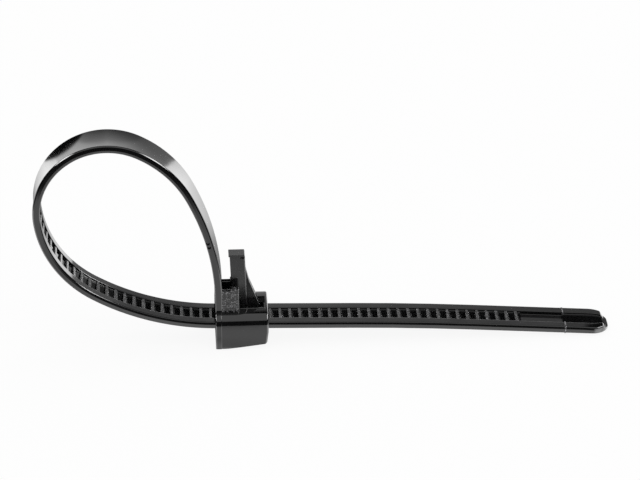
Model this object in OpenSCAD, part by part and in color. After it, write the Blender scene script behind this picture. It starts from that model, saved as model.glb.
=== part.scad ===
// Releasable cable tie, threaded into a loop and standing on its head and its tip.
// Millimetres. The loop lies in the XZ plane, the strap's width runs along Y, and the floor is Z = 0.
// X = 0 is the middle of the strap's thickness where it rises from the head.

/* [Strap] */
// Width of the strap
strap_w = 7.6; // [7.2:0.1:8.2]
// Thickness of the strap
strap_t = 1.45; // [1.35:0.05:1.55]
// Rounding of the strap's two outer edges
outer_round = 0.5; // [0.3:0.05:0.6]
// Chamfer of the strap's two inner edges
inner_edge = 0.15; // [0.1:0.05:0.25]
// Width of each side rail
rail_w = 1.9; // [1.6:0.1:2.1]
// Depth of the channel between the rails
channel_d = 0.75; // [0.6:0.05:0.8]

/* [Rungs] */
// Distance from one rung to the next
rung_pitch = 1.89; // [1.8:0.01:2]
// Height of a rung above the channel's floor
rung_h = 0.65; // [0.5:0.05:0.7]
// Width of the flat along the top of a rung
rung_top = 0.55; // [0.4:0.05:0.6]
// Width of a rung at its foot
rung_foot = 1.1; // [0.95:0.05:1.15]
// Distance along the strap from the head's origin to the first rung past the head
rung_start = 11.3; // [11.1:0.05:11.6]
// Number of rungs on the tail past the head
tail_rungs = 25; // [18:1:27]

/* [Loop] */
// Radius where the strap rises from the neck
rise_r = 48.4; // [45:0.1:51]
// Turn of the rise, in degrees
rise_turn = 26.9; // [25:0.1:29]
// Radius of the shoulder
shoulder_r = 21.3; // [20:0.1:23]
// Turn of the shoulder, in degrees
shoulder_turn = 35.8; // [34:0.1:38]
// Radius of the tight bend across the top
crown_r = 13; // [12.5:0.1:13.5]
// Turn of the tight bend, in degrees
crown_turn = 60; // [58:0.1:62]
// Radius where the strap comes down the far side
far_r = 13.7; // [13.2:0.1:14.2]
// Turn down the far side, in degrees
far_turn = 64.2; // [62:0.1:66]
// Radius where the strap comes back underneath
back_r = 21.5; // [20:0.1:23]
// Turn of that return, in degrees
back_turn = 51.2; // [49:0.1:52]
// Radius of the last sweep into the head
sweep_r = 45.6; // [44:0.1:48]
// Length of plain strap from the floor to the first rungs, the neck
neck_l = 23; // [19:0.1:26]

/* [Tail] */
// Slope of the strap through the head, in degrees below level
slot_slope = 1.5; // [1.2:0.05:2]
// Length of straight strap from the head's origin
tail_straight = 25.5; // [22:0.1:30]
// Radius of the tail's droop
droop_r = 545; // [500:1:650]
// Turn of the droop, in degrees
droop_turn = 2.4; // [2:0.05:2.6]
// Length of the tail's last straight
tail_end = 26.5; // [25:0.1:29]
// Length of the thin nose past the ends of the rails
nose_l = 1.4; // [1:0.1:2]
// Radius of the tip's corners, seen from above
tip_r = 3.6; // [3:0.1:3.7]
// Distance from the tip to the mark across the strap
mark_back = 8.8; // [7:0.1:11]
// Height of that mark
mark_h = 0.06; // [0.04:0.01:0.1]
// Length of that mark along the strap
mark_l = 0.3; // [0.2:0.05:0.5]

/* [Head] */
// Width of the head
head_w = 11.4; // [11:0.1:12.4]
// Height of the head's top above the floor
head_h = 7.1; // [7:0.1:7.6]
// Where the head's far end lies
head_end = 9.3; // [9.1:0.05:10]
// Radius of the head's two top edges
head_r = 1.9; // [1.5:0.1:2.1]
// Radius of the head's two bottom edges
head_foot_r = 0.6; // [0.3:0.1:1]
// Length of the foot under the flange
foot_l = 1.15; // [0.9:0.05:1.3]
// How far the flange stands out from the head
flange_out = 0.12; // [0.08:0.02:0.2]
// Height of the underside at the head's far end
underside_rise = 1.14; // [0.8:0.02:1.3]
// How far past the foot the underside bends
underside_l = 2.8; // [2:0.1:3.5]
// Height of the underside at that bend
underside_h = 0.4; // [0.2:0.02:0.5]
// How far the head's far end slopes back at the bottom
end_slope = 0.3; // [0.2:0.05:0.6]
// Chamfer around the head's far end
rim_chamfer = 0.3; // [0.15:0.05:0.4]
// Clearance around the strap in the slot
slot_gap = 0.18; // [0.12:0.02:0.25]
// Height of the space above the strap, where the pawl moves
pawl_room = 1.25; // [1.15:0.05:1.35]
// Width of the slit in the roof for the gusset
slit_w = 2.9; // [2.6:0.1:3.1]
// Thickness of the wall between the slit and the head's far end
slit_wall = 0.7; // [0.6:0.05:0.9]
// Width of the window in the roof for the lever
window_w = 3.4; // [3.2:0.1:3.8]
// Width of the room for the pawl under the roof
room_w = 4.4; // [4.2:0.1:5]

/* [Cheeks] */
// Thickness of each cheek beside the lever
cheek_t = 0.9; // [0.7:0.05:1]
// Length of each cheek along X, from the strap
cheek_l = 3.1; // [2.9:0.05:3.3]
// Height of the cheeks above the floor
cheek_h = 12.15; // [11:0.1:13]
// How much lower the part of a cheek beside the strap is
cheek_step = 0.5; // [0.3:0.05:0.8]
// How much lower the far cheek is than the near one
far_cheek_drop = 1.35; // [0:0.05:1.8]
// How far the cheeks stand in from the strap's edges
cheek_in = 0.08; // [0.05:0.01:0.12]

/* [Lever and pawl] */
// Thickness of the lever along X
lever_t = 2.9; // [2.6:0.05:3]
// Where the lever's strap-side face meets the pawl
lever_x = 2.65; // [2.5:0.05:2.75]
// Lean of the lever towards the strap, in degrees
lever_lean = 2.2; // [1.5:0.1:2.6]
// Height of the lever's top above the floor
lever_h = 17.95; // [16.5:0.1:19]
// Width of the lever at its foot
lever_foot_w = 2.8; // [2.6:0.1:3]
// Width of the lever at its top
lever_top_w = 2.5; // [2.2:0.1:2.6]
// Thickness of the lip on top of the lever
lip_t = 0.36; // [0.3:0.02:0.5]
// How far the lip overhangs towards the strap
lip_out = 0.2; // [0.1:0.02:0.3]
// Height of the notch under the lip
notch_h = 0.32; // [0.2:0.02:0.45]
// Depth of the notch under the lip
notch_d = 0.45; // [0.3:0.05:0.7]
// Thickness of the gusset along Y
gusset_t = 2.2; // [1.6:0.1:2.4]
// Height at which the gusset leaves the lever
gusset_h = 14.7; // [14:0.1:15.5]
// How far behind the lever the gusset bends outwards
gusset_out = 0.5; // [0.4:0.05:0.8]
// Height of that bend
gusset_bend_h = 12.2; // [11.5:0.1:13]
// Where the gusset's slope meets the pawl
gusset_end = 8.3; // [7.9:0.05:8.4]
// Thickness of the pawl's plate
pawl_t = 0.55; // [0.45:0.05:0.6]
// Clearance between the pawl and the strap
pawl_gap = 0.14; // [0.1:0.01:0.18]
// Number of teeth under the pawl
pawl_teeth = 3; // [2:1:3]
// Thickness of the hinge that carries the pawl
hinge_t = 0.4; // [0.35:0.05:0.45]

/* [Hidden] */
$fn = 96;
eps = 0.01;
join_grow = 0.012;
join_lap = 0.1;
// How far a part is sunk into the one it joins, and how far a cut runs past what it cuts
sink = 0.15;
over = 2;
half_t = strap_t / 2;
half_w = strap_w / 2;
channel_w = strap_w - 2 * rail_w;
sweep_turn = 270 - slot_slope - rise_turn - shoulder_turn - crown_turn - far_turn - back_turn;
end_slope_deg = slot_slope + droop_turn;

// Height of the slot: the tail's underside comes down to the floor at its tip.
droop = tail_straight * sin(slot_slope)
    + droop_r * (cos(slot_slope) - cos(end_slope_deg))
    + tail_end * sin(end_slope_deg);
slot_z = droop + half_t * cos(end_slope_deg);

// A stretch of the path is [radius, turn, length]: a radius of 0 is a straight run, a left turn is
// positive. A pose is [x, z, heading, distance from the start of the loop].
loop_arcs = [
    [rise_r, rise_turn, 0],
    [shoulder_r, shoulder_turn, 0],
    [crown_r, crown_turn, 0],
    [far_r, far_turn, 0],
    [back_r, back_turn, 0],
    [sweep_r, sweep_turn, 0]
];
function stretch_l(s) = s[0] == 0 ? s[2] : s[0] * abs(s[1]) * PI / 180;
function after(pose, s) = let (h = pose[2], side = sign(s[1])) s[0] == 0
    ? [pose[0] + s[2] * cos(h), pose[1] + s[2] * sin(h), h, pose[3] + s[2]]
    : [
        pose[0] + side * s[0] * (sin(h + s[1]) - sin(h)),
        pose[1] - side * s[0] * (cos(h + s[1]) - cos(h)),
        h + s[1],
        pose[3] + stretch_l(s)
    ];
function pose_at(start, path, i) = i == 0 ? start : after(pose_at(start, path, i - 1), path[i - 1]);

// The loop closes on the slot: the neck's height is what the arcs leave over.
arcs_end = pose_at([0, 0, 90, 0], loop_arcs, len(loop_arcs));
neck_top = slot_z - tan(slot_slope) * arcs_end[0] - arcs_end[1];
neck_base = slot_z + half_t + pawl_gap;
run_in = -arcs_end[0] / cos(slot_slope);
path = concat(
    [[0, 0, neck_top - neck_base]],
    loop_arcs,
    [[0, 0, run_in + tail_straight], [droop_r, -droop_turn, 0], [0, 0, tail_end - nose_l]]
);
path_start = [0, neck_base, 90, 0];
poses = [for (i = [0:len(path)]) pose_at(path_start, path, i)];
// Bends are drawn one or two hairs larger than their neighbours, so that the joins are clean.
hairs = [0, 1, 0, 1, 2, 0, 1, 0, 1, 0];

// Distance along the path of the head's origin, of the first rung and of the ladder's last rung.
origin_s = poses[len(loop_arcs) + 1][3] + run_in;
ladder_start = neck_l - neck_base;
rungs_back = floor((origin_s + rung_start - ladder_start - rung_foot) / rung_pitch);
nose_pose = poses[len(path)];

// Heights in the slot's own frame, where 0 is the middle of the strap's thickness
slot_floor = -half_t - slot_gap;
slot_roof = half_t + pawl_room;
pawl_base = half_t + pawl_gap;
floor_level = half_t - channel_d;

// Section of the strap: a flat back with rounded edges, a channel in the inner face.
// It can be drawn larger all round by grow.
module strap_section(channel = true, grow = 0) {
    t = half_t + grow;
    w = half_w + grow;
    mid = outer_round * (1 - sqrt(0.5));
    difference() {
        polygon([
            [-t, -w + outer_round], [-t + mid, -w + mid], [-t + outer_round, -w],
            [t - inner_edge, -w], [t, -w + inner_edge], [t, w - inner_edge], [t - inner_edge, w],
            [-t + outer_round, w], [-t + mid, w - mid], [-t, w - outer_round]
        ]);
        if (channel)
            translate([floor_level + grow, grow - channel_w / 2])
                square([channel_d + 1, channel_w - 2 * grow]);
    }
}

// Puts its children at a pose, with X along the path, Y towards the inner face and Z across the strap
module at_pose(pose) {
    translate([pose[0], pose[1], 0]) rotate([0, 0, pose[2]]) children();
}

// One straight run from the local origin along X
module straight_run(l, channel) {
    rotate([90, 0, 90]) linear_extrude(l) strap_section(channel);
}

// One bend from the local origin, which can be larger than its neighbours and lap over them; a left
// turn has its centre on the side of the inner face
module bend(r, turn, channel, grow = 0, lap = 0) {
    early = lap / r * 180 / PI;
    translate([0, sign(turn) * r, 0]) rotate([0, 0, turn > 0 ? -90 - early : 90 + turn - early])
        rotate_extrude(angle = abs(turn) + 2 * early, $fn = 240)
            translate([r, 0]) mirror([turn > 0 ? 1 : 0, 0]) strap_section(channel, grow);
}

// One stretch of the strap, plain or with the channel
module stretch(i, channel) {
    s = path[i];
    at_pose(poses[i]) {
        if (s[0] == 0) straight_run(s[2], channel);
        else bend(s[0], s[1], channel, hairs[i] * join_grow, hairs[i] > 0 ? join_lap : 0);
    }
}

// Pose at a distance along the path
function stretch_of(d, i = 0) = i >= len(path) - 1 || d < poses[i + 1][3] ? i : stretch_of(d, i + 1);
function pose_on(d) = let (i = stretch_of(d), s = path[i], part = d - poses[i][3])
    after(poses[i], s[0] == 0 ? [0, 0, part] : [s[0], sign(s[1]) * part / s[0] * 180 / PI, 0]);

// One rung: a steep face towards the root, a slope towards the tip
module rung() {
    foot = floor_level - sink;
    translate([0, 0, -channel_w / 2 - sink]) linear_extrude(channel_w + 2 * sink) polygon([
        [0, foot], [rung_foot, foot], [rung_foot, floor_level],
        [rung_top, floor_level + rung_h], [0, floor_level + rung_h]
    ]);
}

module rungs() {
    for (k = [-rungs_back:tail_rungs - 1])
        at_pose(pose_on(origin_s + rung_start + k * rung_pitch)) rung();
}

// The end of the strap: rails that follow the rounded outline and a thin nose beyond them
module tip_outline() {
    back = tip_r + over;
    translate([-back, -half_w]) square([back + nose_l - tip_r, strap_w]);
    translate([-back, -half_w + tip_r]) square([back + nose_l, strap_w - 2 * tip_r]);
    for (side = [-1, 1]) translate([nose_l - tip_r, side * (half_w - tip_r)]) circle(tip_r);
}

module tip() {
    at_pose(nose_pose) rotate([-90, 0, 0]) translate([0, 0, -half_t])
        linear_extrude(half_t + floor_level) intersection() {
            tip_outline();
            translate([-join_lap, -half_w]) square([nose_l + over, strap_w]);
        }
}

// What is cut from the last run so that its rails follow the tip's outline
module tip_trim() {
    cut = tip_r + nose_l + over;
    at_pose(nose_pose) rotate([-90, 0, 0]) translate([0, 0, -2 * strap_t]) linear_extrude(4 * strap_t)
        difference() {
            translate([-tip_r, -half_w - over]) square([cut, strap_w + 2 * over]);
            tip_outline();
        }
}

// The line across the strap where the smooth end begins
module mark() {
    d = poses[len(path)][3] + nose_l - mark_back;
    at_pose(pose_on(d)) rotate([90, 0, 90]) linear_extrude(mark_l) strap_section(true, mark_h);
}

module strap() {
    // The neck is plain up to the first rungs
    difference() {
        for (i = [1:len(path) - 1]) stretch(i, true);
        tip_trim();
    }
    stretch(0, false);
    at_pose(poses[1])
        bend(rise_r, (ladder_start - poses[1][3]) / rise_r * 180 / PI, false, join_grow, join_lap);
    rungs();
    tip();
    mark();
}

// Everything below is drawn with Z up, as the head stands.

// The head's outline from the side: the foot, the rising underside and the far end
module head_profile(out = 0) {
    polygon([
        [-half_t, 0], [foot_l - half_t, 0], [foot_l - half_t + underside_l, underside_h],
        [head_end - end_slope, underside_rise], [head_end, head_h / 2], [head_end, head_h + out],
        [-half_t, head_h + out]
    ]);
}

// The head's outline from its end: a rounded box
module head_outline(w, h, top_r, foot_r) {
    translate([-w / 2 + top_r, foot_r]) square([w - 2 * top_r, h - foot_r]);
    translate([-w / 2, foot_r]) square([w, h - top_r - foot_r]);
    translate([-w / 2 + foot_r, 0]) square([w - 2 * foot_r, foot_r + eps]);
    for (side = [-1, 1]) {
        translate([side * (w / 2 - top_r), h - top_r]) circle(top_r);
        translate([side * (w / 2 - foot_r), foot_r]) circle(foot_r);
    }
}

module along_x(x0, x1) {
    translate([x0, 0, 0]) rotate([90, 0, 90]) linear_extrude(x1 - x0) children();
}

module along_y(w) {
    translate([0, w / 2, 0]) rotate([90, 0, 0]) linear_extrude(w) children();
}

// The slot's own frame: X along the strap, Z = 0 at the middle of its thickness
module in_slot() {
    translate([0, 0, slot_z]) rotate([0, slot_slope, 0]) children();
}

module head_body() {
    intersection() {
        along_y(head_w) head_profile();
        along_x(-half_t, head_end) head_outline(head_w, head_h, head_r, head_foot_r);
    }
    along_x(-half_t, foot_l - half_t)
        head_outline(head_w + 2 * flange_out, head_h + flange_out, head_r + flange_out, head_foot_r);
}

// The passage for the strap, the pawl's room above it and the openings in the roof
module head_cavity() {
    window_end = lever_x + lever_t + 2 * sink;
    in_slot() {
        translate([-over, -half_w - slot_gap, slot_floor])
            cube([head_end + 2 * over, strap_w + 2 * slot_gap, strap_t + 2 * slot_gap]);
        translate([half_t + 1, -room_w / 2, 0]) cube([head_end, room_w, slot_roof]);
    }
    translate([half_t, -window_w / 2, slot_z + half_t]) cube([window_end - half_t, window_w, head_h]);
    translate([half_t, -slit_w / 2, slot_z]) cube([head_end - slit_wall - half_t, slit_w, head_h]);
}

module rim_cut() {
    for (side = [-1, 1]) translate([head_end, side * head_w / 2, 0])
        rotate([0, 0, 45]) cube([rim_chamfer * sqrt(2), rim_chamfer * sqrt(2), 4 * head_h], center = true);
    translate([head_end, 0, head_h]) rotate([0, 45, 0])
        cube([rim_chamfer * sqrt(2), 2 * head_w, rim_chamfer * sqrt(2)], center = true);
}

// Two cheeks, flush with the strap's edges, that guard the lever's foot
module cheeks() {
    for (side = [-1, 1]) {
        top = side < 0 ? cheek_h : cheek_h - far_cheek_drop;
        translate([0, side * (half_w - cheek_in - cheek_t / 2), 0]) along_y(cheek_t) polygon([
            [0, head_h - 1], [half_t + cheek_l, head_h - 1], [half_t + cheek_l, top],
            [half_t + cheek_l / 2, top], [half_t + cheek_l / 2, top - cheek_step],
            [0, top - cheek_step]
        ]);
    }
}

// The pawl's plate with its teeth, hung on a thin hinge from the strap's root
module pawl() {
    plate_w = channel_w - 0.4;
    last = head_end - slit_wall - 0.25;
    first_tooth = rung_start - 2 * rung_pitch;
    clear = 0.1;
    in_slot() {
        translate([1.5, -plate_w / 2, pawl_base]) cube([last - 1.5, plate_w, pawl_t]);
        translate([0, -plate_w / 2, pawl_base + pawl_t - hinge_t]) cube([2, plate_w, hinge_t]);
        for (k = [0:pawl_teeth - 1]) {
            // The tooth's steep face meets the steep face of the next rung
            steep = first_tooth - k * rung_pitch - clear;
            low = steep - (rung_pitch - rung_foot - 2 * clear);
            slope = (rung_foot - rung_top) / rung_h;
            tooth_h = pawl_base - floor_level - clear;
            along_y(plate_w) polygon([
                [steep, pawl_base - tooth_h], [steep, pawl_base + eps],
                [low - slope * tooth_h, pawl_base + eps], [low, pawl_base - tooth_h]
            ]);
        }
    }
}

// The lever's outline from its end: it narrows from between the cheeks to its lip
module lever_outline() {
    base = slot_z + pawl_base + pawl_t;
    wide = cheek_h;
    polygon([
        [-channel_w / 2 + 0.2, base - 0.3], [channel_w / 2 - 0.2, base - 0.3],
        [lever_foot_w / 2, base + 0.6], [lever_foot_w / 2, wide],
        [lever_top_w / 2, lever_h], [-lever_top_w / 2, lever_h],
        [-lever_foot_w / 2, wide], [-lever_foot_w / 2, base + 0.6]
    ]);
}

module lever() {
    base = slot_z + pawl_base;
    back = lever_x + lever_t;
    lean = tan(lever_lean);
    top = lever_h - base;
    under = top - lip_t;
    intersection() {
        along_x(0, head_end) lever_outline();
        along_y(2 * lever_foot_w) translate([0, base]) difference() {
            polygon([
                [lever_x, 0], [back, 0], [back - lean * top - 0.1, top],
                [lever_x - lip_out - lean * top, top], [lever_x - lip_out - lean * under, under],
                [lever_x - lean * under, under]
            ]);
            translate([back - lean * under - notch_d, under - notch_h]) square([2 * notch_d, notch_h]);
        }
    }
    along_y(gusset_t) polygon([
        [back - 3 * sink, base], [gusset_end, base - tan(slot_slope) * gusset_end + sink],
        [gusset_end, base + 3 * sink], [back - lean * (gusset_bend_h - base) + gusset_out, gusset_bend_h],
        [back - lean * (gusset_h - base) - eps, gusset_h],
        [back - 3 * sink - lean * (gusset_h - base), gusset_h]
    ]);
}

module head() {
    difference() {
        head_body();
        head_cavity();
        rim_cut();
    }
    cheeks();
    pawl();
    lever();
}

// The root: the strap's own thickness carried down into the flange above the slot
module root() {
    along_x(-half_t + outer_round, half_t) translate([-half_w + cheek_in, neck_base])
        square([strap_w - 2 * cheek_in, head_h - neck_base + 1]);
}

module cable_tie() {
    color([0.05, 0.05, 0.055]) union() {
        rotate([90, 0, 0]) strap();
        head();
        root();
    }
}

cable_tie();
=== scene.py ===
import math
import bpy
import bmesh
from mathutils import Matrix, Vector


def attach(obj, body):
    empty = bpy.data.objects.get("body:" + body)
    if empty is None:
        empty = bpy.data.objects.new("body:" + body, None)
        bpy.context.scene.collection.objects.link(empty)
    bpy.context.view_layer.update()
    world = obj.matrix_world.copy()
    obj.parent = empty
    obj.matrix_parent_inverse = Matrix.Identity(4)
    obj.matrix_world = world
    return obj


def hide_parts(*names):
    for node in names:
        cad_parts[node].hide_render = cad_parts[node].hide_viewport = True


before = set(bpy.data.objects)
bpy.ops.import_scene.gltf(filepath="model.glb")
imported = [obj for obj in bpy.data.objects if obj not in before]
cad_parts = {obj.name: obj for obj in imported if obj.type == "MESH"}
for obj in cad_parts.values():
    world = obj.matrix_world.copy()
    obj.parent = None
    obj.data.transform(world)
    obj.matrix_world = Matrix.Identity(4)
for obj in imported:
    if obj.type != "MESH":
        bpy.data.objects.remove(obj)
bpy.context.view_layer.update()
print("frame loaded")

mm = 0.001
scene = bpy.context.scene

# The loop lies in the XZ plane and the strap's width runs along Y. All sizes are in millimetres.
strapSize = {
    "width": 7.6,
    "thickness": 1.45,
    "railWidth": 1.9,
    "channelDepth": 0.75,
    "outerRound": 0.32,
    "partingLevel": 0.55,
    "draft": 4.0,
    "partingRound": 0.12,
    "railRound": 0.2,
    "railInnerRound": 0.14,
    "floorFillet": 0.1,
    "floorFall": 0.34,
    "hollow": 0.1,
    "neckHeight": 23.0,
}

halfT = strapSize["thickness"] / 2
halfW = strapSize["width"] / 2
channelHalf = halfW - strapSize["railWidth"]
floorLevel = halfT - strapSize["channelDepth"]


# Materials: one black nylon in four surfaces: polished, moulded, grained with painted glints, and a
# lighter one with dense painted glints for the mark

nylonLook = {
    "refraction": 1.66,
    "slowScale": 260,
    "waveScale": 110,
    # The levels of the fine grain between which the painted glints appear
    "paintedGlintStart": 0.52,
    "paintedGlintFull": 0.66,
}


def node(tree, kind, **settings):
    made = tree.nodes.new(kind)
    for key, value in settings.items():
        setattr(made, key, value)
    return made


def nylon(name, colour, rough, spread, grain, grainSize, wave, paintedGlints=0):
    # Roughness goes from rough by up to spread; grain, its size and the waves are in millimetres
    made = bpy.data.materials.new(name)
    made.use_nodes = True
    tree = made.node_tree
    link = tree.links.new
    shader = tree.nodes["Principled BSDF"]
    shader.inputs["IOR"].default_value = nylonLook["refraction"]
    place = node(tree, "ShaderNodeTexCoord")
    # A slow change of colour and gloss
    slow = node(tree, "ShaderNodeTexNoise")
    slow.inputs["Scale"].default_value = nylonLook["slowScale"]
    slow.inputs["Detail"].default_value = 3
    link(place.outputs["Object"], slow.inputs["Vector"])
    tint = node(tree, "ShaderNodeMix", data_type="RGBA")
    tint.inputs["A"].default_value = (colour * 0.75, colour * 0.75, colour * 0.8, 1)
    tint.inputs["B"].default_value = (colour * 1.3, colour * 1.3, colour * 1.35, 1)
    link(slow.outputs["Fac"], tint.inputs["Factor"])
    link(tint.outputs["Result"], shader.inputs["Base Color"])
    # Fine grain left by the mould
    fine = node(tree, "ShaderNodeTexNoise")
    fine.inputs["Scale"].default_value = 1 / (grainSize * mm)
    fine.inputs["Detail"].default_value = 4
    fine.inputs["Roughness"].default_value = 0.6
    link(place.outputs["Object"], fine.inputs["Vector"])
    if paintedGlints > 0:
        # Painted glints: pale specks in the base colour stand in for light sparkling off the grain
        spots = node(tree, "ShaderNodeMapRange")
        spots.inputs["From Min"].default_value = nylonLook["paintedGlintStart"]
        spots.inputs["From Max"].default_value = nylonLook["paintedGlintFull"]
        link(fine.outputs["Fac"], spots.inputs["Value"])
        pale = node(tree, "ShaderNodeMix", data_type="RGBA")
        pale.inputs["B"].default_value = (paintedGlints, paintedGlints, paintedGlints * 1.03, 1)
        link(spots.outputs["Result"], pale.inputs["Factor"])
        link(tint.outputs["Result"], pale.inputs["A"])
        link(pale.outputs["Result"], shader.inputs["Base Color"])
    spreadMap = node(tree, "ShaderNodeMapRange")
    spreadMap.inputs["From Min"].default_value = 0.3
    spreadMap.inputs["From Max"].default_value = 0.7
    spreadMap.inputs["To Min"].default_value = rough
    spreadMap.inputs["To Max"].default_value = rough + spread
    link(slow.outputs["Fac"], spreadMap.inputs["Value"])
    link(spreadMap.outputs["Result"], shader.inputs["Roughness"])
    # Long shallow waves of a thin moulding, then the grain
    wide = node(tree, "ShaderNodeTexNoise")
    wide.inputs["Scale"].default_value = nylonLook["waveScale"]
    wide.inputs["Detail"].default_value = 1
    link(place.outputs["Object"], wide.inputs["Vector"])
    waveBump = node(tree, "ShaderNodeBump")
    waveBump.inputs["Strength"].default_value = 1
    waveBump.inputs["Distance"].default_value = wave * mm
    link(wide.outputs["Fac"], waveBump.inputs["Height"])
    grainBump = node(tree, "ShaderNodeBump")
    grainBump.inputs["Strength"].default_value = 1
    grainBump.inputs["Distance"].default_value = grain * mm
    link(fine.outputs["Fac"], grainBump.inputs["Height"])
    link(waveBump.outputs["Normal"], grainBump.inputs["Normal"])
    link(grainBump.outputs["Normal"], shader.inputs["Normal"])
    return made


polished = nylon(
    "polishedNylon", colour=0.004, rough=0.06, spread=0.05, grain=0.0008, grainSize=0.25, wave=0.05
)
moulded = nylon(
    "mouldedNylon", colour=0.006, rough=0.16, spread=0.08, grain=0.005, grainSize=0.16, wave=0.03
)
# Grained nylon with a real bumpy grain, plus pale specks that are painted glints
grainedPaintedGlints = nylon(
    "grainedNylonPaintedGlints", colour=0.004, rough=0.16, spread=0.1, grain=0.03, grainSize=0.3, wave=0.02,
    paintedGlints=0.16
)
# A lighter colour and dense pale specks: painted glints standing in for light caught on the raised
# mark
markPaintedGlints = nylon(
    "markNylonPaintedGlints", colour=0.02, rough=0.3, spread=0.1, grain=0.03, grainSize=0.26, wave=0.02,
    paintedGlints=0.6
)
print("materials made")


# Helpers for shapes

def claim(piece, material=None):
    if material is not None:
        piece.data.materials.clear()
        piece.data.materials.append(material)
    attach(piece, "root")
    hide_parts("cable_tie")
    return piece


def meshObject(name, points, faces):
    made = bpy.data.meshes.new(name)
    made.from_pydata([Vector(p) * mm for p in points], [], faces)
    made.validate()
    piece = bpy.data.objects.new(name, made)
    scene.collection.objects.link(piece)
    shape = bmesh.new()
    shape.from_mesh(made)
    bmesh.ops.recalc_face_normals(shape, faces=shape.faces)
    shape.to_mesh(made)
    shape.free()
    return piece


def filleted(corners, steps=5, hold=0.03):
    # Rounds each corner (x, y, radius) of an outline and puts a holding point beside each rounding
    out = []
    for i, (x, y, radius) in enumerate(corners):
        here = Vector((x, y))
        if radius <= 0:
            out.append(here)
            continue
        before = (Vector(corners[i - 1][:2]) - here).normalized()
        after = (Vector(corners[(i + 1) % len(corners)][:2]) - here).normalized()
        half = before.angle(after) / 2
        reach = radius / math.tan(half)
        centre = here + (before + after).normalized() * (radius / math.sin(half))
        first = here + before * reach - centre
        last = here + after * reach - centre
        turn = first.angle_signed(last)
        out.append(here + before * (reach + hold))
        for k in range(steps + 1):
            out.append(centre + Matrix.Rotation(-turn * k / steps, 2) @ first)
        out.append(here + after * (reach + hold))
    return out


def ringFaces(count, rings=2):
    # The faces of a closed tube: rings of points, one after the other, with a cap at each end
    last = (rings - 1) * count
    faces = [list(range(count)), list(range(last + count - 1, last - 1, -1))]
    for r in range(0, last, count):
        for i in range(count):
            j = (i + 1) % count
            faces.append((r + i, r + j, r + count + j, r + count + i))
    return faces


def prism(name, outline, along, low, high):
    # A straight prism: the outline is (x, z) along Y, or (y, z) along X
    points = []
    for level in (low, high):
        for a, b in outline:
            points.append((a, level, b) if along == "y" else (level, a, b))
    return meshObject(name, points, ringFaces(len(outline)))


def lineObject(name, points, closed):
    # A line of short edges through the points
    count = len(points)
    made = bpy.data.meshes.new(name)
    edges = [(i, (i + 1) % count) for i in range(count if closed else count - 1)]
    made.from_pydata([Vector(p) * mm for p in points], edges, [])
    piece = bpy.data.objects.new(name, made)
    scene.collection.objects.link(piece)
    return piece


def evaluated(piece):
    # Replaces a piece's mesh by what its modifiers make of it
    graph = bpy.context.evaluated_depsgraph_get()
    graph.update()
    made = bpy.data.meshes.new_from_object(piece.evaluated_get(graph))
    piece.modifiers.clear()
    piece.data = made
    return piece


def combine(base, other, operation):
    step = base.modifiers.new("combine", "BOOLEAN")
    step.operation = operation
    step.solver = "EXACT"
    step.object = other
    evaluated(base)
    bpy.data.objects.remove(other)
    return base


def clean(piece, angle=0.5):
    shape = bmesh.new()
    shape.from_mesh(piece.data)
    bmesh.ops.remove_doubles(shape, verts=shape.verts, dist=0.002 * mm)
    bmesh.ops.dissolve_limit(
        shape, angle_limit=math.radians(angle), verts=shape.verts, edges=shape.edges
    )
    bmesh.ops.recalc_face_normals(shape, faces=shape.faces)
    shape.to_mesh(piece.data)
    shape.free()
    return piece


def softened(piece, width, steps=3, angle=30):
    # Rounds the edges of a piece and keeps its flat faces flat to the eye
    for face in piece.data.polygons:
        face.use_smooth = True
    edge = piece.modifiers.new("edges", "BEVEL")
    edge.width = width * mm
    edge.segments = steps
    edge.limit_method = "ANGLE"
    edge.angle_limit = math.radians(angle)
    edge.harden_normals = True
    edge.use_clamp_overlap = True
    return piece


# The strap's path, as stretches of (radius, turn, length), and its poses (x, z, heading, distance)

pathSize = {
    "rise": (48.4, 26.9),
    "shoulder": (21.3, 35.8),
    "crown": (13.0, 60.0),
    "farSide": (13.7, 64.2),
    "back": (21.5, 51.2),
    "sweepRadius": 45.6,
    "slotSlope": 1.5,
    "tailStraight": 25.5,
    "droop": (545.0, 2.4),
    "tailEnd": 26.5,
    "pawlGap": 0.14,
    "pointTurn": 0.8,
}
tipSize = {
    "nose": 1.4,
    "noseRound": 0.3,
    "corner": 3.6,
    "railEnd": 0.6,
    "railSlope": 0.8,
    "shoulderLength": 5.0,
    "shoulderWidth": 0.65,
    "shoulderFall": 0.16,
    "spacing": 0.35,
    "fineLength": 0.9,
    "fineCount": 26,
    "markBack": 8.8,
    "markHeight": 0.09,
    "markLength": 0.3,
}


def stretchLength(s):
    return s[2] if s[0] == 0 else s[0] * math.radians(abs(s[1]))


def after(pose, s):
    x, z, heading, distance = pose
    h = math.radians(heading)
    if s[0] == 0:
        return (x + s[2] * math.cos(h), z + s[2] * math.sin(h), heading, distance + s[2])
    side = math.copysign(1, s[1])
    t = math.radians(heading + s[1])
    return (
        x + side * s[0] * (math.sin(t) - math.sin(h)),
        z - side * s[0] * (math.cos(t) - math.cos(h)),
        heading + s[1],
        distance + stretchLength(s),
    )


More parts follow.
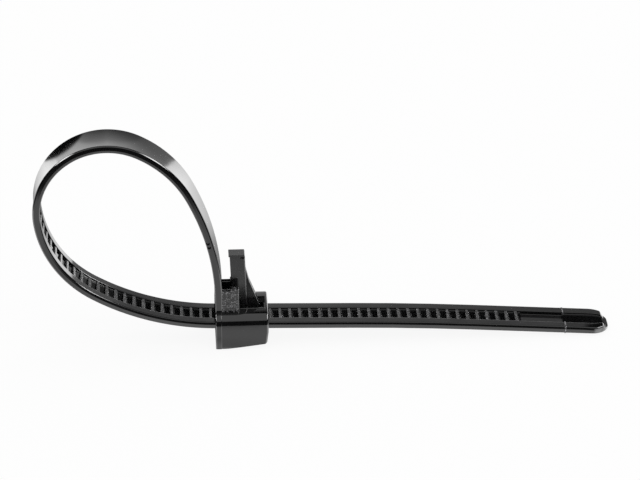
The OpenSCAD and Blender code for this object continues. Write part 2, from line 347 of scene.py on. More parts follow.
slope = math.radians(pathSize["slotSlope"])
endSlope = math.radians(pathSize["slotSlope"] + pathSize["droop"][1])
droopFall = (
    pathSize["tailStraight"] * math.sin(slope)
    + pathSize["droop"][0] * (math.cos(slope) - math.cos(endSlope))
    + pathSize["tailEnd"] * math.sin(endSlope)
)
slotZ = droopFall + halfT * math.cos(endSlope)
arcs = [pathSize[key] for key in ("rise", "shoulder", "crown", "farSide", "back")]
sweepTurn = 270 - pathSize["slotSlope"] - sum(turn for radius, turn in arcs)
arcs.append((pathSize["sweepRadius"], sweepTurn))
pose = (0, 0, 90, 0)
for radius, turn in arcs:
    pose = after(pose, (radius, turn, 0))
riseStart = slotZ - math.tan(slope) * pose[0] - pose[1]
neckBase = slotZ + halfT + pathSize["pawlGap"]
runIn = -pose[0] / math.cos(slope)
stretches = [(0, 0, riseStart - neckBase)]
stretches += [(radius, turn, 0) for radius, turn in arcs]
stretches += [
    (0, 0, runIn + pathSize["tailStraight"]),
    (pathSize["droop"][0], -pathSize["droop"][1], 0),
    (0, 0, pathSize["tailEnd"] - tipSize["nose"]),
]
poses = [(0, neckBase, 90, 0)]
for s in stretches:
    poses.append(after(poses[-1], s))
originAt = poses[7][3] + runIn
ladderStart = strapSize["neckHeight"] - neckBase
noseAt = poses[-1][3]
tipAt = noseAt + tipSize["nose"]


def poseOn(distance):
    i = 0
    while i < len(stretches) - 1 and distance >= poses[i + 1][3]:
        i += 1
    s = stretches[i]
    part = distance - poses[i][3]
    if s[0] == 0:
        return after(poses[i], (0, 0, part))
    return after(poses[i], (s[0], math.copysign(1, s[1]) * math.degrees(part / s[0]), 0))


def pathObject(name, first, last):
    # The path as a line of short edges, with its points close together in the bends
    stops = {first, last}
    for i, s in enumerate(stretches):
        a = poses[i][3]
        b = poses[i + 1][3]
        count = 6 if s[0] == 0 else max(3, math.ceil(abs(s[1]) / pathSize["pointTurn"]))
        for k in range(count + 1):
            d = a + (b - a) * k / count
            if first < d < last:
                stops.add(d)
    stops = sorted(stops)
    apart = [stops[0]]
    for d in stops[1:]:
        if d - apart[-1] > 0.01:
            apart.append(d)
    points = []
    for d in apart:
        x, z, heading, at = poseOn(d)
        points.append((x, 0, z))
    return lineObject(name, points, False)


# The strap's outlines: X across the strap, Y towards its inner face

def backEdge():
    # The outer face, slightly hollow across as in any strip that is bent, from one edge to the other
    r = strapSize["outerRound"]
    draft = math.tan(math.radians(strapSize["draft"]))
    edge = halfW - draft * (strapSize["thickness"] - strapSize["partingLevel"])
    inside = [(-edge, -halfT, r)]
    for k in range(-4, 5):
        share = k / 5
        inside.append((edge * share, -halfT + strapSize["hollow"] * (1 - share ** 2), 0))
    inside.append((edge, -halfT, r))
    return inside


def sideEdge(side):
    # The parting line on the strap's side, and the rail's outer corner beyond it
    draft = math.tan(math.radians(strapSize["draft"]))
    level = halfT - strapSize["partingLevel"]
    corner = halfW - draft * strapSize["partingLevel"]
    return [
        (side * halfW, level, strapSize["partingRound"]),
        (side * corner, halfT, strapSize["railRound"]),
    ]


def plainOutline():
    return filleted(backEdge() + sideEdge(1) + sideEdge(-1)[::-1])


def ladderOutline(small=strapSize["railInnerRound"], foot=strapSize["floorFillet"], fall=0):
    # With rails, and a channel floor that falls towards the near side
    return filleted(backEdge() + sideEdge(1) + [
        (channelHalf + 0.03, halfT, small),
        (channelHalf - 0.02, floorLevel + fall, foot),
        (-channelHalf + 0.02, floorLevel, foot),
        (-channelHalf - 0.03, halfT, small),
    ] + sideEdge(-1)[::-1])


# One tree sweeps an outline along the path, the other sets copies of a piece along it

def newTree(name):
    tree = bpy.data.node_groups.new(name, "GeometryNodeTree")
    face = tree.interface
    face.new_socket("Geometry", in_out="INPUT", socket_type="NodeSocketGeometry")
    face.new_socket("Geometry", in_out="OUTPUT", socket_type="NodeSocketGeometry")
    return tree


def fill(modifier, values):
    for item in modifier.node_group.interface.items_tree:
        if item.in_out == "INPUT" and item.name in values:
            modifier[item.identifier] = values[item.name]


def sweepTree():
    tree = newTree("sweepAlongPath")
    tree.interface.new_socket("Outline", in_out="INPUT", socket_type="NodeSocketObject")
    tree.interface.new_socket("Surface", in_out="INPUT", socket_type="NodeSocketMaterial")
    link = tree.links.new
    start = node(tree, "NodeGroupInput")
    line = node(tree, "GeometryNodeMeshToCurve")
    link(start.outputs["Geometry"], line.inputs["Mesh"])
    upright = node(tree, "GeometryNodeSetCurveNormal", mode="FREE")
    upright.inputs["Normal"].default_value = (0, 1, 0)
    link(line.outputs["Curve"], upright.inputs["Curve"])
    shape = node(tree, "GeometryNodeObjectInfo", transform_space="ORIGINAL")
    link(start.outputs["Outline"], shape.inputs["Object"])
    ring = node(tree, "GeometryNodeMeshToCurve")
    link(shape.outputs["Geometry"], ring.inputs["Mesh"])
    sweep = node(tree, "GeometryNodeCurveToMesh")
    sweep.inputs["Fill Caps"].default_value = True
    link(upright.outputs["Curve"], sweep.inputs["Curve"])
    link(ring.outputs["Curve"], sweep.inputs["Profile Curve"])
    real = node(tree, "GeometryNodeRealizeInstances")
    link(sweep.outputs["Mesh"], real.inputs["Geometry"])
    paint = node(tree, "GeometryNodeSetMaterial")
    link(real.outputs["Geometry"], paint.inputs["Geometry"])
    link(start.outputs["Surface"], paint.inputs["Material"])
    end = node(tree, "NodeGroupOutput")
    link(paint.outputs["Geometry"], end.inputs["Geometry"])
    return tree


def rowTree():
    tree = newTree("rowAlongPath")
    tree.interface.new_socket("Piece", in_out="INPUT", socket_type="NodeSocketObject")
    tree.interface.new_socket("Surface", in_out="INPUT", socket_type="NodeSocketMaterial")
    tree.interface.new_socket("Pitch", in_out="INPUT", socket_type="NodeSocketFloat")
    tree.interface.new_socket("Seed", in_out="INPUT", socket_type="NodeSocketInt")
    tree.interface.new_socket("Unevenness", in_out="INPUT", socket_type="NodeSocketFloat")
    link = tree.links.new
    start = node(tree, "NodeGroupInput")
    line = node(tree, "GeometryNodeMeshToCurve")
    link(start.outputs["Geometry"], line.inputs["Mesh"])
    upright = node(tree, "GeometryNodeSetCurveNormal", mode="FREE")
    upright.inputs["Normal"].default_value = (0, 1, 0)
    link(line.outputs["Curve"], upright.inputs["Curve"])
    spots = node(tree, "GeometryNodeCurveToPoints", mode="LENGTH")
    link(upright.outputs["Curve"], spots.inputs["Curve"])
    link(start.outputs["Pitch"], spots.inputs["Length"])
    shape = node(tree, "GeometryNodeObjectInfo", transform_space="ORIGINAL")
    link(start.outputs["Piece"], shape.inputs["Object"])
    uneven = node(tree, "FunctionNodeRandomValue", data_type="FLOAT")
    link(start.outputs["Seed"], uneven.inputs["Seed"])
    least = node(tree, "ShaderNodeMath", operation="SUBTRACT")
    least.inputs[0].default_value = 1
    link(start.outputs["Unevenness"], least.inputs[1])
    link(least.outputs[0], uneven.inputs[2])
    uneven.inputs[3].default_value = 1
    scaled = node(tree, "ShaderNodeCombineXYZ")
    scaled.inputs["X"].default_value = 1
    scaled.inputs["Y"].default_value = 1
    link(uneven.outputs[1], scaled.inputs["Y"])
    scaled.inputs["Z"].default_value = 1
    copies = node(tree, "GeometryNodeInstanceOnPoints")
    link(spots.outputs["Points"], copies.inputs["Points"])
    link(shape.outputs["Geometry"], copies.inputs["Instance"])
    link(spots.outputs["Rotation"], copies.inputs["Rotation"])
    link(scaled.outputs["Vector"], copies.inputs["Scale"])
    real = node(tree, "GeometryNodeRealizeInstances")
    link(copies.outputs["Instances"], real.inputs["Geometry"])
    paint = node(tree, "GeometryNodeSetMaterial")
    link(real.outputs["Geometry"], paint.inputs["Geometry"])
    link(start.outputs["Surface"], paint.inputs["Material"])
    end = node(tree, "NodeGroupOutput")
    link(paint.outputs["Geometry"], end.inputs["Geometry"])
    return tree


def smoothed(piece, angle=38):
    shape = bmesh.new()
    shape.from_mesh(piece.data)
    bmesh.ops.remove_doubles(shape, verts=shape.verts, dist=0.0005 * mm)
    bmesh.ops.recalc_face_normals(shape, faces=shape.faces)
    for face in shape.faces:
        face.smooth = True
    shape.to_mesh(piece.data)
    shape.free()
    piece.data.set_sharp_from_angle(angle=math.radians(angle))
    return piece


def swept(name, outline, first, last, surface):
    guide = lineObject(name + "Outline", [(a, b, 0) for a, b in outline], True)
    piece = pathObject(name, first, last)
    step = piece.modifiers.new("sweep", "NODES")
    step.node_group = sweep
    fill(step, {"Outline": guide, "Surface": surface})
    evaluated(piece)
    bpy.data.objects.remove(guide)
    return claim(smoothed(piece))


rungSize = {
    "pitch": 1.89,
    "start": 11.3,
    "height": 0.65,
    "top": 0.55,
    "foot": 1.1,
    "sunk": 0.15,
    "frontRound": 0.15,
    "topRound": 0.1,
    "footRound": 0.06,
    "tailCount": 25,
    "lastGap": 0.6,
}
sweep = sweepTree()
row = rowTree()
markAt = tipAt - tipSize["markBack"]
firstPast = originAt + rungSize["start"]
rungsEnd = firstPast + rungSize["tailCount"] * rungSize["pitch"] - rungSize["lastGap"]
sloping = ladderOutline(fall=strapSize["floorFall"])
neck = swept("neck", plainOutline(), 0, ladderStart, polished)
ladder = swept("ladder", sloping, ladderStart, rungsEnd, polished)
ladderEnd = swept("ladderEnd", ladderOutline(), rungsEnd, markAt + 0.1, polished)
print("strap swept")


# Two small round dents in the neck's near side, just before the channel starts

dentSize = {
    "inwards": 0.25,
    "radius": 0.36,
    "depth": 0.4,
    "back": (0.85, 1.7),
    "points": 16,
}


def dent(piece, at):
    x, z, heading, distance = poseOn(at)
    h = math.radians(heading)
    x -= math.sin(h) * dentSize["inwards"]
    z += math.cos(h) * dentSize["inwards"]
    outline = []
    for k in range(dentSize["points"]):
        a = 2 * math.pi * k / dentSize["points"]
        outline.append((x + dentSize["radius"] * math.cos(a), z + dentSize["radius"] * math.sin(a)))
    cutter = prism("dentGuide", outline, "y", -halfW - 1, -halfW + dentSize["depth"])
    combine(piece, cutter, "DIFFERENCE")
    smoothed(piece)


for back in dentSize["back"]:
    dent(neck, ladderStart - back)


def rungPiece():
    # A steep face towards the root and a hollowed slope towards the tip, in the path's own axes:
    # X across the strap, Y towards the inner face, Z along the path
    top = floorLevel + rungSize["height"]
    low = floorLevel - rungSize["sunk"]
    outline = filleted([
        (0, low, 0),
        (0, top, rungSize["frontRound"]),
        (rungSize["top"], top, rungSize["topRound"]),
        (rungSize["foot"], floorLevel + 0.02, rungSize["footRound"]),
        (rungSize["foot"] + 0.05, low, 0),
    ], steps=3, hold=0.015)
    reach = channelHalf + 0.1
    points = []
    for side in (-1, 1):
        for along, up in outline:
            points.append((side * reach, up, along))
    piece = meshObject("rungGuide", points, ringFaces(len(outline)))
    return smoothed(piece, angle=50)


rungsBefore = math.floor((firstPast - ladderStart - rungSize["foot"]) / rungSize["pitch"])
firstRung = firstPast - rungsBefore * rungSize["pitch"]
lastRung = firstPast + (rungSize["tailCount"] - 1) * rungSize["pitch"]
guide = rungPiece()
rungs = pathObject("rungs", firstRung, lastRung + 0.05)
step = rungs.modifiers.new("row", "NODES")
step.node_group = row
fill(step, {
    "Piece": guide,
    "Surface": grainedPaintedGlints,
    "Pitch": rungSize["pitch"] * mm,
    "Seed": 4,
    "Unevenness": 0.02,
})
evaluated(rungs)
bpy.data.objects.remove(guide)
for face in rungs.data.polygons:
    face.use_smooth = True
rungs.data.set_sharp_from_angle(angle=math.radians(50))
claim(rungs)
print("rungs set:", len(rungs.data.polygons))


# The tip: sections that narrow with the rounded end, rails that stop, and a thin nose beyond them

def tipPiece():
    corner = tipSize["corner"]
    shoulder = halfW - tipSize["shoulderWidth"]
    fineStart = noseAt - tipSize["fineLength"]
    stations = []
    d = markAt
    while d < fineStart:
        stations.append(d)
        d += tipSize["spacing"]
    for k in range(tipSize["fineCount"] + 1):
        share = 1 - (1 - k / tipSize["fineCount"]) ** 1.6
        stations.append(fineStart + (tipAt - 0.02 - fineStart) * share)
    outline = ladderOutline(fall=strapSize["floorFall"])
    middle = (floorLevel - halfT) / 2
    points = []
    for d in stations:
        toEnd = tipAt - d
        wide = halfW
        if toEnd < corner:
            wide = halfW - corner + math.sqrt(max(0, corner ** 2 - (corner - toEnd) ** 2))
        share = wide / halfW
        # How much of the rails is left
        left = min(1, max(0, (toEnd - tipSize["railEnd"]) / tipSize["railSlope"]))
        left = left * left * (3 - 2 * left)
        # The nose thins to a rounded edge
        lip = tipSize["noseRound"]
        thin = 1.0
        if toEnd < lip:
            thin = math.sqrt(max(0.02, 1 - ((lip - toEnd) / lip) ** 2))
        # How near the end is, for the near rail's shoulder
        near = min(1, max(0, 1 - toEnd / tipSize["shoulderLength"]))
        fall = tipSize["shoulderFall"] * near * (2 - near)
        x, z, heading, at = poseOn(d)
        h = math.radians(heading)
        for across, up in outline:
            level = up
            if up > floorLevel:
                outer = max(0, (-across - shoulder) / tipSize["shoulderWidth"])
                level = floorLevel + (up - floorLevel) * left - fall * outer ** 2 * left
            level = middle + (level - middle) * thin if thin < 1 else level
            points.append((
                x - math.sin(h) * level,
                across * share,
                z + math.cos(h) * level,
            ))
    return meshObject("tip", points, ringFaces(len(outline), len(stations)))


tip = claim(smoothed(tipPiece(), angle=50), polished)


# The fine raised line across the strap near its tip, in a lighter colour with dense painted glints

def grown(outline, by):
    out = []
    for i, p in enumerate(outline):
        a = (outline[i] - outline[i - 1]).normalized()
        b = (outline[(i + 1) % len(outline)] - outline[i]).normalized()
        n = Vector((a.y + b.y, -a.x - b.x)).normalized()
        out.append(p + n * by)
    return out


markOutline = grown(ladderOutline(0, 0), tipSize["markHeight"])
mark = swept("mark", markOutline, markAt, markAt + tipSize["markLength"], markPaintedGlints)
print("tip made")


# The head: a rounded box with a rising underside, opened for the strap, the pawl and the lever

headSize = {
    "width": 11.4,
    "height": 7.1,
    "end": 9.3,
    "topRound": 1.9,
    "footRound": 0.6,
    "foot": 1.15,
    "undersideRise": 1.14,
    "undersideLength": 2.8,
    "undersideHeight": 0.4,
    "endSlope": 0.3,
    "endRound": 0.4,
    "slotGap": 0.18,
    "pawlRoom": 1.25,
    "slitWidth": 2.9,
    "slitWall": 0.7,
    "windowWidth": 3.4,
    "windowGap": 0.3,
    "roomWidth": 4.4,
    "recessStart": 3.9,
    "recessWall": 0.5,
    "recessWidth": 4.54,
    "recessDepth": 0.7,
    "edge": 0.16,
}
leverSize = {
    "thickness": 2.9,
    "x": 2.65,
    "lean": 2.2,
    "height": 17.95,
    "footWidth": 2.8,
    "topWidth": 2.5,
    "lip": 0.36,
    "lipOut": 0.2,
    "round": 0.3,
    "notchHeight": 0.38,
    "notchDepth": 0.9,
    "edge": 0.14,
}
pawlSize = {
    "thickness": 0.55,
    "teeth": 3,
    "toothGap": 0.1,
    "sideGap": 0.2,
    "endGap": 0.25,
    "hinge": 0.4,
    "hingeLength": 1.5,
    "edge": 0.05,
}
leverBack = leverSize["x"] + leverSize["thickness"]
lean = math.tan(math.radians(leverSize["lean"]))

# How far the cutting shapes reach past what they cut, and a height above everything
beyond = 3
above = 20


def along(x, z):
    # From the slot's own axes to the head's
    c = math.cos(slope)
    s = math.sin(slope)
    return (x * c + z * s, slotZ - x * s + z * c)


def cutAway(piece, name, outline, half):
    # Cuts a straight opening across the head's middle, half its width to each side
    return combine(piece, prism(name, outline, "y", -half, half), "DIFFERENCE")


def cutPassage(piece, last):
    # The passage for the strap
    low = -halfT - headSize["slotGap"]
    high = halfT + headSize["slotGap"]
    cut = [along(-beyond, low), along(last, low), along(last, high), along(-beyond, high)]
    return cutAway(piece, "passage", cut, halfW + headSize["slotGap"])


def bevelled(piece, radius, chosen):
    # Rounds the edges for which chosen(edge) holds
    shape = bmesh.new()
    shape.from_mesh(piece.data)
    shape.normal_update()
    edges = [edge for edge in shape.edges if len(edge.link_faces) == 2 and chosen(edge)]
    bmesh.ops.bevel(
        shape, geom=edges, offset=radius * mm, segments=5, profile=0.5, affect="EDGES"
    )
    shape.to_mesh(piece.data)
    shape.free()


def roundEnd(piece, side, radius):
    # Rounds the rim of the end that faces left (-1) or right (1)
    def onRim(edge):
        facing = [face.normal.x * side for face in edge.link_faces]
        return max(facing) > 0.8 and min(facing) < 0.5

    bevelled(piece, radius, onRim)


def roundUprights(piece, radius, shortest):
    # Rounds the long upright edges of a piece
    def isUpright(edge):
        line = edge.verts[1].co - edge.verts[0].co
        tall = line.length > shortest * mm and abs(line.z) > 0.95 * line.length
        return tall and edge.calc_face_angle() > 1

    bevelled(piece, radius, isUpright)


def headBody():
    h = headSize
    side = prism("head", [
        (-halfT, 0),
        (h["foot"] - halfT, 0),
        (h["foot"] - halfT + h["undersideLength"], h["undersideHeight"]),
        (h["end"] - h["endSlope"], h["undersideRise"]),
        (h["end"], h["height"] / 2),
        (h["end"], h["height"]),
        (-halfT, h["height"]),
    ], "y", -h["width"], h["width"])
    w = h["width"] / 2
    end = filleted([
        (-w, 0, h["footRound"]),
        (w, 0, h["footRound"]),
        (w, h["height"], h["topRound"]),
        (-w, h["height"], h["topRound"]),
    ], steps=10, hold=0.02)
    combine(side, prism("endGuide", end, "x", -2, h["end"] + 2), "INTERSECT")
    clean(side)
    roundEnd(side, 1, h["endRound"])
    cutPassage(side, h["end"] + beyond)
    # The pawl's room, and the openings in the roof for the lever and its gusset
    top = halfT + h["pawlRoom"]
    cut = [
        along(halfT + 1, 0),
        along(h["end"] + beyond, 0),
        along(h["end"] + beyond, top),
        along(halfT + 1, top),
    ]
    cutAway(side, "room", cut, h["roomWidth"] / 2)
    back = leverBack + h["windowGap"]
    low = slotZ + halfT
    cut = [(halfT, low), (back, low), (back, above), (halfT, above)]
    cutAway(side, "window", cut, h["windowWidth"] / 2)
    slitEnd = h["end"] - h["slitWall"]
    cut = [(halfT, slotZ), (slitEnd, slotZ), (slitEnd, above), (halfT, above)]
    cutAway(side, "slit", cut, h["slitWidth"] / 2)
    # A shallow recess round the lever and the slit
    left, right = h["recessStart"], h["end"] - h["recessWall"]
    low = h["height"] - h["recessDepth"]
    cut = [(left, low), (right, low), (right, above), (left, above)]
    cutAway(side, "recess", cut, h["recessWidth"] / 2)
    return clean(side)


head = claim(softened(headBody(), headSize["edge"], steps=4, angle=32), polished)

flangeSize = {
    "out": 0.1195,
    "footFlare": 0.3,
    "endRound": 0.24,
    "edge": 0.112,
}


def flangePiece():
    h = headSize
    out = flangeSize["out"]
    w = h["width"] / 2 + out
    top = h["height"] + out
    flared = h["footRound"] + flangeSize["footFlare"]
    outline = filleted([
        (-w + out, 0, h["footRound"]),
        (w - out, 0, h["footRound"]),
        (w, flared, 0),
        (w, top, h["topRound"] + out),
        (-w, top, h["topRound"] + out),
        (-w, flared, 0),
    ], steps=10, hold=0.02)
    piece = prism("flange", outline, "x", -halfT, h["foot"] - halfT)
    roundEnd(piece, -1, flangeSize["endRound"])
    cutPassage(piece, beyond)
    return clean(piece)


flange = claim(softened(flangePiece(), flangeSize["edge"], steps=4, angle=32), polished)

rimSize = {
    "height": 0.12,
    "width": 0.34,
    "sunk": 0.3,
    "edge": 0.15,
}


def rimPiece():
    # A low lip along the near edge of the recess
    h = headSize
    near = h["recessWidth"] / 2
    top = h["height"] + rimSize["height"]
    low = h["height"] - rimSize["sunk"]
    left, right = h["recessStart"], h["end"] - h["recessWall"]
    outline = [(left, low), (right, low), (right, top), (left, top)]
    return prism("rim", outline, "y", -near - rimSize["width"], -near)


rim = claim(softened(rimPiece(), rimSize["edge"], steps=4), polished)

cheekSize = {
    "thickness": 0.9,
    "length": 3.1,
    "height": 12.15,
    "step": 0.5,
    "farDrop": 1.35,
    "inwards": 0.08,
    "fall": 0.14,
    "round": 0.24,
    "edge": 0.12,
}


def cheekPiece(name, side):
    v = cheekSize
    low = headSize["height"] - 1
    top = v["height"] - (v["farDrop"] if side > 0 else 0)
    right = halfT + v["length"]
    middle = halfT + v["length"] / 2
    outline = [
        (0, low),
        (right, low),
        (right, top),
        (middle, top),
        (middle, top - v["step"]),
        (0, top - v["step"]),
    ]
    half = v["thickness"] / 2
    centre = side * (halfW - v["inwards"] - half)
    piece = prism(name, outline, "y", centre - half, centre + half)
    # The tops fall towards the front
    for point in piece.data.vertices:
        if point.co.y < centre * mm and point.co.z > headSize["height"] * mm:
            point.co.z -= v["fall"] * mm
    roundUprights(piece, v["round"], 2)
    return softened(piece, v["edge"])


# The near cheek is in the grained nylon with painted glints, the far one in the polished nylon
cheekNear = claim(cheekPiece("cheekNear", -1), grainedPaintedGlints)
cheekFar = claim(cheekPiece("cheekFar", 1), polished)


# The lever stands on the pawl, and its gusset behind it

def leverPiece():
    v = leverSize
    top = v["height"] - neckBase
    under = top - v["lip"]
    notchLow = under - v["notchHeight"]
    notchX = leverBack - lean * under - v["notchDepth"]
    side = [
        (v["x"], 0),
        (leverBack, 0),
        (leverBack - lean * notchLow, notchLow),
        (notchX, notchLow),
        (notchX, under),
        (leverBack - lean * under, under),
        (leverBack - lean * top - 0.1, top),
        (v["x"] - v["lipOut"] - lean * top, top),
        (v["x"] - v["lipOut"] - lean * under, under),
        (v["x"] - lean * under, under),
    ]
    side = [(x, z + neckBase) for x, z in side]
    piece = prism("lever", side, "y", -6, 6)
    plate = neckBase + pawlSize["thickness"]
    foot = v["footWidth"] / 2
    tail = channelHalf - pawlSize["sideGap"]
    end = [
        (-tail, plate - 0.3),
        (tail, plate - 0.3),
        (foot, plate + 0.6),
        (foot, cheekSize["height"]),
        (v["topWidth"] / 2, v["height"]),
        (-v["topWidth"] / 2, v["height"]),
        (-foot, cheekSize["height"]),
        (-foot, plate + 0.6),
    ]
    combine(piece, prism("leverEnd", end, "x", 0, 9), "INTERSECT")
    clean(piece)
    roundUprights(piece, v["round"], 3)
    return piece


lever = claim(softened(leverPiece(), leverSize["edge"]), moulded)

gussetSize = {
    "thickness": 2.2,
    "taper": 0.58,
    "height": 14.7,
    "inside": 0.45,
    "out": 0.5,
    "bendHeight": 12.2,
    "end": 8.3,
    "endHeight": 0.45,
    "edge": 0.16,
}


def gussetPiece():
    v = gussetSize
    tall = v["height"] - neckBase
    outline = [
        (leverBack - v["inside"], neckBase),
        (v["end"], neckBase - math.tan(slope) * v["end"] + 0.15),
        (v["end"], neckBase + v["endHeight"]),
        (leverBack - lean * (v["bendHeight"] - neckBase) + v["out"], v["bendHeight"]),
        (leverBack - lean * tall - 0.01, v["height"]),
        (leverBack - v["inside"] - lean * tall, v["height"]),
    ]
    piece = prism("gusset", outline, "y", -1, 1)
    # It thins upwards
    for point in piece.data.vertices:
        share = (point.co.z / mm - neckBase) / tall
        half = v["thickness"] / 2 + v["taper"] * (0.15 - share)
        point.co.y = math.copysign(half * mm, point.co.y)
    return piece


gusset = claim(softened(gussetPiece(), gussetSize["edge"]), moulded)


def pawlPiece():
    # A plate on a thin hinge, with teeth that reach between the rungs
    v = pawlSize
    half = channelHalf - v["sideGap"]
    low = halfT + pathSize["pawlGap"]
    high = low + v["thickness"]
    last = headSize["end"] - headSize["slitWall"] - v["endGap"]
    outline = [
        along(0, high - v["hinge"]),
        along(v["hingeLength"], high - v["hinge"]),
        along(v["hingeLength"], low),
    ]
    pitch = rungSize["pitch"]
    firstTooth = rungSize["start"] - 2 * pitch
    slopeRate = (rungSize["foot"] - rungSize["top"]) / rungSize["height"]
    tooth = low - floorLevel - v["toothGap"]
    for k in range(v["teeth"] - 1, -1, -1):
        steep = firstTooth - k * pitch - v["toothGap"]
        near = steep - (pitch - rungSize["foot"] - 2 * v["toothGap"])
        outline.append(along(near - slopeRate * tooth, low))
        outline.append(along(near, low - tooth))
        outline.append(along(steep, low - tooth))
        outline.append(along(steep, low))
    outline += [along(last, low), along(last, high), along(0, high)]
    return prism("pawl", outline, "y", -half, half)


pawl = claim(softened(pawlPiece(), pawlSize["edge"], steps=2), moulded)
print("head made")


# The floor

floorReach = 6
corners = [(-1, -1), (1, -1), (1, 1), (-1, 1)]
floorMesh = bpy.data.meshes.new("floor")
floorMesh.from_pydata([(x * floorReach, y * floorReach, 0) for x, y in corners], [], [(0, 1, 2, 3)])
floor = bpy.data.objects.new("floor", floorMesh)
floor.location = (0, 0, -0.00002)
floor.visible_glossy = False
scene.collection.objects.link(floor)


def floorMaterial():
    made = bpy.data.materials.new("paleFloor")
    made.use_nodes = True
    tree = made.node_tree
    link = tree.links.new
    shader = tree.nodes["Principled BSDF"]
    shader.inputs["Base Color"].default_value = (0.9, 0.9, 0.9, 1)
    shader.inputs["Roughness"].default_value = 0.9
    shader.inputs["Specular IOR Level"].default_value = 0
    glow = node(tree, "ShaderNodeEmission")
    rays = node(tree, "ShaderNodeLightPath")
    first = node(tree, "ShaderNodeMath", operation="ADD", use_clamp=True)
    second = node(tree, "ShaderNodeMath", operation="ADD", use_clamp=True)
    link(rays.outputs["Is Camera Ray"], first.inputs[0])
    link(rays.outputs["Is Glossy Ray"], first.inputs[1])
    link(first.outputs[0], second.inputs[0])
    link(rays.outputs["Is Transmission Ray"], second.inputs[1])
    # Most of what the camera sees of the floor is plain white; the rest keeps the object's shadow
    keep = node(tree, "ShaderNodeMath", operation="MULTIPLY")
    keep.inputs[1].default_value = 0.9
    link(second.outputs[0], keep.inputs[0])
    mix = node(tree, "ShaderNodeMixShader")
    link(keep.outputs[0], mix.inputs[0])
    link(shader.outputs[0], mix.inputs[1])
    link(glow.outputs[0], mix.inputs[2])
    link(mix.outputs[0], tree.nodes["Material Output"].inputs["Surface"])
    return made


floor.data.materials.append(floorMaterial())


# The light: a plain white world, and the room that reflections show. Directions are x, y and z from
# -1 to 1, and levels are brightness

roomLevels = {
    "floorBehind": 3.3,
    "floorBeside": 2.2,
    "screen": 2.4,
    "overhead": 1.1,
    "sideLights": 17.0,
}


def worked(tree, operation, *values):
    # One step of arithmetic on sockets or numbers
    step = node(tree, "ShaderNodeMath", operation=operation)
    for socket, value in zip(step.inputs, values):
        if isinstance(value, (int, float)):
            socket.default_value = value
        else:
            tree.links.new(value, socket)
    return step.outputs[0]


def product(tree, *values):
    out = values[0]
    for value in values[1:]:
        out = worked(tree, "MULTIPLY", out, value)
    return out


def added(tree, *values):
    out = values[0]
    for value in values[1:]:
        out = worked(tree, "ADD", out, value)
    return out


def between(tree, source, low, high, first=0, last=1):
    # Goes smoothly from first to last as the source goes from low to high
    step = node(tree, "ShaderNodeMapRange", interpolation_type="SMOOTHSTEP")
    step.inputs["From Min"].default_value = min(low, high)
    step.inputs["From Max"].default_value = max(low, high)
    step.inputs["To Min"].default_value = first if low < high else last
    step.inputs["To Max"].default_value = last if low < high else first
    tree.links.new(source, step.inputs["Value"])
    return step.outputs["Result"]


def levels(tree, source, stops):
    # Brightness against a source that goes from -1 to 1: stops are (source, value)
    place = node(tree, "ShaderNodeMapRange")
    place.inputs["From Min"].default_value = -1
    place.inputs["From Max"].default_value = 1
    tree.links.new(source, place.inputs["Value"])
    ramp = node(tree, "ShaderNodeValToRGB")
    points = ramp.color_ramp.elements
    while len(points) < len(stops):
        points.new(0.5)
    for point, (level, value) in zip(points, stops):
        point.position = (level + 1) / 2
        point.color = (value, value, value, 1)
    tree.links.new(place.outputs["Result"], ramp.inputs["Fac"])
    return ramp.outputs["Color"]


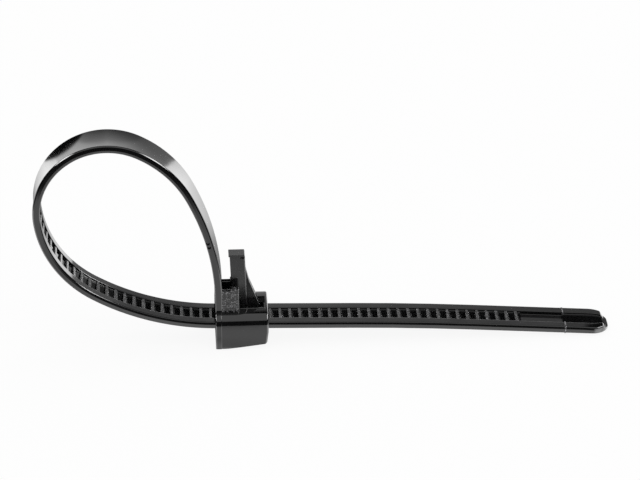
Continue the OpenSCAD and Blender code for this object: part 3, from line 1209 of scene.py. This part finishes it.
def reflectedRoom(tree):
    place = node(tree, "ShaderNodeTexCoord")
    parts = node(tree, "ShaderNodeSeparateXYZ")
    tree.links.new(place.outputs["Generated"], parts.inputs[0])
    x, y, z = parts.outputs
    # In front: the pale floor, then the dark room, then its pale ceiling
    front = levels(tree, z, [
        (-1.0, 1.8),
        (-0.6, 1.7),
        (-0.55, 1.0),
        (-0.5, 1.3),
        (-0.43, 1.3),
        (-0.40, 0.01),
        (0.41, 0.01),
        (0.47, 1.1),
        (1.0, 1.1),
    ])
    # Behind: the floor, darker far down, and a lit white sweep that fades upwards and to the right.
    # Both end on the left
    ratio = worked(tree, "DIVIDE", x, y)
    leaning = added(tree, ratio, product(tree, z, -0.32))
    leftEnd = product(tree, between(tree, leaning, -0.47, -0.51), between(tree, z, -0.17, -0.13))
    panel = worked(tree, "SUBTRACT", 1, leftEnd)
    pale = levels(tree, z, [
        (-1.0, 0.1),
        (-0.47, 0.1),
        (-0.44, 0.15),
        (-0.38, 0.4),
        (-0.3, 0.6),
        (-0.2, 0.9),
        (-0.1, 1.0),
        (1.0, 1.0),
    ])
    below = between(tree, z, 0.0, -0.03)
    floorBehind = product(tree, pale, below, panel, roomLevels["floorBehind"])
    raised = added(tree, z, product(tree, worked(tree, "ABSOLUTE", ratio), 0.2))
    fade = levels(tree, raised, [
        (-1.0, 1.0),
        (0.3, 1.0),
        (0.375, 0.9),
        (0.42, 0.5),
        (0.46, 0.38),
        (0.5, 0.27),
        (0.54, 0.12),
        (0.58, 0.04),
        (0.62, 0.0),
        (1.0, 0.0),
    ])
    across = between(tree, ratio, 0.0, 0.5, 1.0, 0.25)
    over = between(tree, z, -0.03, 0.0)
    screen = product(tree, fade, across, over, panel, roomLevels["screen"])
    overhead = product(tree, between(tree, z, 0.84, 0.92), roomLevels["overhead"])
    both = node(tree, "ShaderNodeMix", data_type="RGBA")
    tree.links.new(between(tree, y, -0.35, -0.05), both.inputs["Factor"])
    tree.links.new(front, both.inputs["A"])
    tree.links.new(added(tree, floorBehind, screen, overhead), both.inputs["B"])
    # To the sides: a strip of floor and a soft light high up, the same on the left and the right
    sideways = worked(tree, "ABSOLUTE", x)
    floorBeside = product(
        tree,
        between(tree, sideways, 0.3, 0.5),
        between(tree, z, -0.35, -0.42),
        roomLevels["floorBeside"],
    )
    sideLights = product(
        tree,
        between(tree, sideways, 0.58, 0.7),
        between(tree, z, 0.43, 0.5),
        between(tree, z, 0.88, 0.75),
        between(tree, y, 0.72, 0.55),
        roomLevels["sideLights"],
    )
    return added(tree, both.outputs["Result"], floorBeside, sideLights)


def lightWorld():
    world = bpy.data.worlds.new("world")
    scene.world = world
    world.use_nodes = True
    world.cycles.sampling_method = "NONE"
    tree = world.node_tree
    link = tree.links.new
    plain = tree.nodes["Background"]
    plain.inputs["Color"].default_value = (1, 1, 1, 1)
    plain.inputs["Strength"].default_value = 1
    mirrored = node(tree, "ShaderNodeBackground")
    link(reflectedRoom(tree), mirrored.inputs["Strength"])
    rays = node(tree, "ShaderNodeLightPath")
    mix = node(tree, "ShaderNodeMixShader")
    link(rays.outputs["Is Glossy Ray"], mix.inputs[0])
    link(plain.outputs[0], mix.inputs[1])
    link(mirrored.outputs[0], mix.inputs[2])
    link(mix.outputs[0], tree.nodes["World Output"].inputs["Surface"])


lightWorld()

# The camera, as fitted to the photo: its place is in metres and its angles in degrees

view = {
    "lens": 184.029,
    "sensor": 36,
    "place": (-0.009726, -0.543828, 0.311455),
    "down": 28.1429,
    "turn": -3.0559,
}
scene.view_settings.view_transform = "Standard"
lens = bpy.data.cameras.new("camera")
lens.lens = view["lens"]
lens.sensor_width = view["sensor"]
lens.clip_start = 0.01
lens.clip_end = 20
camera = bpy.data.objects.new("camera", lens)
camera.location = view["place"]
camera.rotation_euler = (math.radians(90 - view["down"]), 0, math.radians(view["turn"]))
scene.collection.objects.link(camera)
scene.camera = camera
print("camera set")
